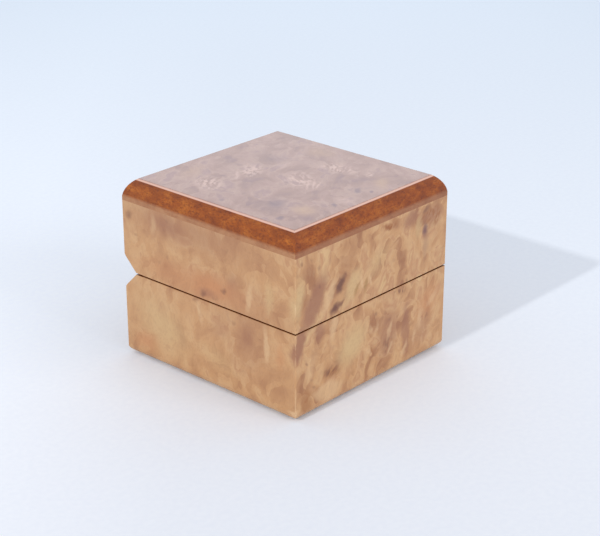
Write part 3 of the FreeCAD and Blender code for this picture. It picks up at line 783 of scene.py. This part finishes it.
roll_round, roll_slack = Vector((2.4, 5.3, 5.3)) * MM, Vector((0.5, 0.6, 0.5)) * MM
roll_step, roll_lumps, roll_glue = 1.5 * MM, 0.3 * MM, 3 * MM
for number in (1, 2, 3):
    low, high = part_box(f"ring_roll_{number}")
    roll = soft_slab(f"ring_cushion_{number}", "base", low + roll_slack, high - roll_slack,
                     roll_round, roll_step, roll_lumps)
    glued_below = low.z + roll_glue
    stuffed(roll, voxel=1.0 * MM, cap=0.9 * MM, pressure=5.0,
            is_glued=lambda place: place.z < glued_below, low=low, high=high)
    roll.data.materials.append(cream_velvet)
    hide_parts(f"ring_roll_{number}")


# Lid pad: a thin foam cushion in ivory satin that fills the lid. It is glued to the panel and its edge is
# tucked down beside the linings.

# Satin: smooth ivory cloth with a soft sheen, long pale gleams and faint threads, which are drawn coarser
# than they are
ivory_satin, tree, shader, spot = new_material(
    "ivory_satin", Roughness=0.42, Specular_IOR_Level=0.4, Sheen_Weight=0.3, Sheen_Roughness=0.3)
shader.inputs["Sheen Tint"].default_value = linear("#FFF6E6")
gleam_width, gleam_length, thread_spacing, thread_height = 5.0, 26.0, 0.8, 0.1 * MM
gleaming = node(tree, "ShaderNodeMapping", {
    "Vector": spot, "Scale": (gleam_length, gleam_width, gleam_width)}, vector_type="TEXTURE").outputs[0]
gleam = node(tree, "ShaderNodeTexNoise", {"Vector": gleaming, "Scale": 1.0, "Detail": 3.0})
colour = node(tree, "ShaderNodeValToRGB", {"Fac": gleam.outputs["Fac"]},
              stops=((0.3, "#D3C2A6"), (0.5, "#E0D1B7"), (0.7, "#E9DDC7"))).outputs[0]
tree.links.new(colour, shader.inputs["Base Color"])

# The wave texture turns by this many radians along each unit
wave_rate = 20
threads = node(tree, "ShaderNodeTexWave", {
    "Vector": spot, "Scale": 2 * pi / wave_rate / thread_spacing, "Distortion": 1.0},
    bands_direction="Y")
bump = node(tree, "ShaderNodeBump", {
    "Strength": 0.15, "Distance": thread_height, "Height": threads.outputs["Fac"]})
tree.links.new(bump.outputs[0], shader.inputs["Normal"])

low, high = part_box("lid_pad")
pad_slack, pad_edge, pad_crown, pad_round, pad_step = 0.4 * MM, 4 * MM, 2.2 * MM, 1.9 * MM, 1.6 * MM
crown_flatness, crown_fullness, pad_glue = 4, 0.6, 1.2 * MM
edge_low = Vector((low.x + pad_slack, low.y + pad_slack, high.z - pad_edge))
edge_high = Vector((high.x - pad_slack, high.y - pad_slack, high.z))
pad = soft_slab("satin_pad", "lid", edge_low, edge_high, (pad_round,) * 3, pad_step,
                unevenness=0)
for vertex in pad.data.vertices:
    run_x, run_y = vertex.co.x / high.x, vertex.co.y / high.y
    depth = (high.z - vertex.co.z) / pad_edge
    crown = ((1 - run_x ** crown_flatness) * (1 - run_y ** crown_flatness)) ** crown_fullness
    vertex.co.z -= depth * pad_crown * crown
glued_above = high.z - pad_glue
stuffed(pad, voxel=1.2 * MM, cap=1.2 * MM, pressure=4.0,
        is_glued=lambda place: place.z > glued_above, low=low, high=high)
pad.data.materials.append(ivory_satin)
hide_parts("lid_pad")


# Stage: a plain pale floor, a small lamp from the left, soft lamps before and behind the box and even
# light all round, with the camera at the photograph's angle.

floor_half = 3.0
mesh = bpy.data.meshes.new("floor")
mesh.from_pydata([(-floor_half, -floor_half, 0), (floor_half, -floor_half, 0),
                  (floor_half, floor_half, 0), (-floor_half, floor_half, 0)], [], [(0, 1, 2, 3)])
floor = bpy.data.objects.new("floor", mesh)
bpy.context.scene.collection.objects.link(floor)


def seen_directly(tree):
    """1 for rays from the camera and for those that gloss or glass sends on, else 0."""
    path = node(tree, "ShaderNodeLightPath").outputs
    seen = node(tree, "ShaderNodeMath", {
        0: path["Is Camera Ray"], 1: path["Is Glossy Ray"]}, operation="MAXIMUM").outputs[0]
    return node(tree, "ShaderNodeMath", {
        0: seen, 1: path["Is Transmission Ray"]}, operation="MAXIMUM").outputs[0]


# Bleached cotton: dull and nearly white, bluer to the back, with threads drawn coarser than they are
pale_cloth, tree, shader, spot = new_material("pale_floor_cloth", Roughness=1.0, Specular_IOR_Level=0.0)
thread_size, near_end, far_end = 2.5, -200.0, 900.0

# Level directions as the camera looks: away from it and to its right
backward, rightward = (0.743, 0.669, 0), (0.669, -0.743, 0)
away = node(tree, "ShaderNodeVectorMath", {
    0: spot, 1: backward}, operation="DOT_PRODUCT").outputs["Value"]
distance = node(tree, "ShaderNodeMapRange", {
    "Value": away, "From Min": near_end, "From Max": far_end}).outputs[0]
tint = node(tree, "ShaderNodeValToRGB", {"Fac": distance},
            stops=((0.0, "#EBEEF3"), (1.0, "#DDE9F4"))).outputs[0]
weave = node(tree, "ShaderNodeTexNoise", {"Vector": spot, "Scale": 1 / thread_size, "Detail": 1.0})
shade = node(tree, "ShaderNodeMapRange", {
    "Value": weave.outputs["Fac"], "From Min": 0.3, "From Max": 0.7, "To Max": 0.1}).outputs[0]
tint = node(tree, "ShaderNodeMix", {0: shade, 6: tint, 7: linear("#CDD4E4")}, data_type="RGBA").outputs[2]
tree.links.new(tint, shader.inputs["Base Color"])

# Painted light: seen directly, the floor glows a little, more beside the box (over its shadow too) and
# to its left, and less towards the back
near_lift = node(tree, "ShaderNodeMapRange", {
    "Value": away, "From Min": -150.0, "From Max": 50.0, "To Min": 0.03, "To Max": 0.09}).outputs[0]
aside = node(tree, "ShaderNodeVectorMath", {
    0: spot, 1: rightward}, operation="DOT_PRODUCT").outputs["Value"]
left_lift = node(tree, "ShaderNodeMapRange", {
    "Value": aside, "From Min": -40.0, "From Max": -140.0, "To Max": 0.08}).outputs[0]
painted_glow = node(tree, "ShaderNodeMath", {0: near_lift, 1: left_lift}, operation="ADD").outputs[0]
fading = node(tree, "ShaderNodeMapRange", {
    "Value": away, "From Min": 60.0, "From Max": 650.0, "To Min": 1.0, "To Max": 0.1}).outputs[0]
painted_glow = node(tree, "ShaderNodeMath", {0: painted_glow, 1: fading}, operation="MULTIPLY").outputs[0]
painted_glow = node(tree, "ShaderNodeMath", {0: painted_glow, 1: seen_directly(tree)}, operation="MULTIPLY").outputs[0]
tree.links.new(tint, shader.inputs["Emission Color"])
tree.links.new(painted_glow, shader.inputs["Emission Strength"])
mesh.materials.append(pale_cloth)

world = bpy.data.worlds.new("studio")
bpy.context.scene.world = world
world.use_nodes = True
tree = world.node_tree
tree.nodes.clear()
lit = node(tree, "ShaderNodeBackground", {"Color": linear("#F4F7FF"), "Strength": 0.72}).outputs[0]
shown = node(tree, "ShaderNodeBackground", {"Color": linear("#DFEAF7"), "Strength": 1.0}).outputs[0]
both = node(tree, "ShaderNodeMixShader", {0: seen_directly(tree), 1: lit, 2: shown}).outputs[0]
node(tree, "ShaderNodeOutputWorld", {"Surface": both})

centre = (cad_box[0] + cad_box[1]) / 2
for name, place, width, height, watts in (
        ("left_lamp", (-2.60, 0.00, 1.65), 0.07, 0.07, 31.0),
        ("front_lamp", (0.38, -2.60, 1.00), 1.40, 1.40, 24.0),
        ("back_lamp", (0.62, 0.56, 0.40), 0.70, 0.45, 0.6)):
    light = bpy.data.lights.new(name, "AREA")
    light.shape = "RECTANGLE"
    light.size = width
    light.size_y = height
    light.energy = watts
    lamp = bpy.data.objects.new(name, light)
    lamp.location = place
    lamp.rotation_mode = "QUATERNION"
    lamp.rotation_quaternion = (centre - Vector(place)).to_track_quat("-Z", "Y")
    lamp.visible_camera = False
    bpy.context.scene.collection.objects.link(lamp)

# The camera is fitted to the box's edges in the photograph
camera_azimuth, camera_elevation, camera_distance = radians(-47.984), radians(22.969), 0.69769
aim = Vector((0.002816, -0.005937, 0.040))
back = Vector((sin(camera_azimuth) * cos(camera_elevation), -cos(camera_azimuth) * cos(camera_elevation),
               sin(camera_elevation)))
lens = bpy.data.cameras.new("camera")
lens.sensor_width = 36.0
lens.lens = 95.80
lens.clip_start = 0.01
camera = bpy.data.objects.new("camera", lens)
camera.location = aim + back * camera_distance
camera.rotation_mode = "QUATERNION"
camera.rotation_quaternion = (-back).to_track_quat("-Z", "Y")
bpy.context.scene.collection.objects.link(camera)
bpy.context.scene.camera = camera
bpy.context.scene.view_settings.view_transform = "Standard"
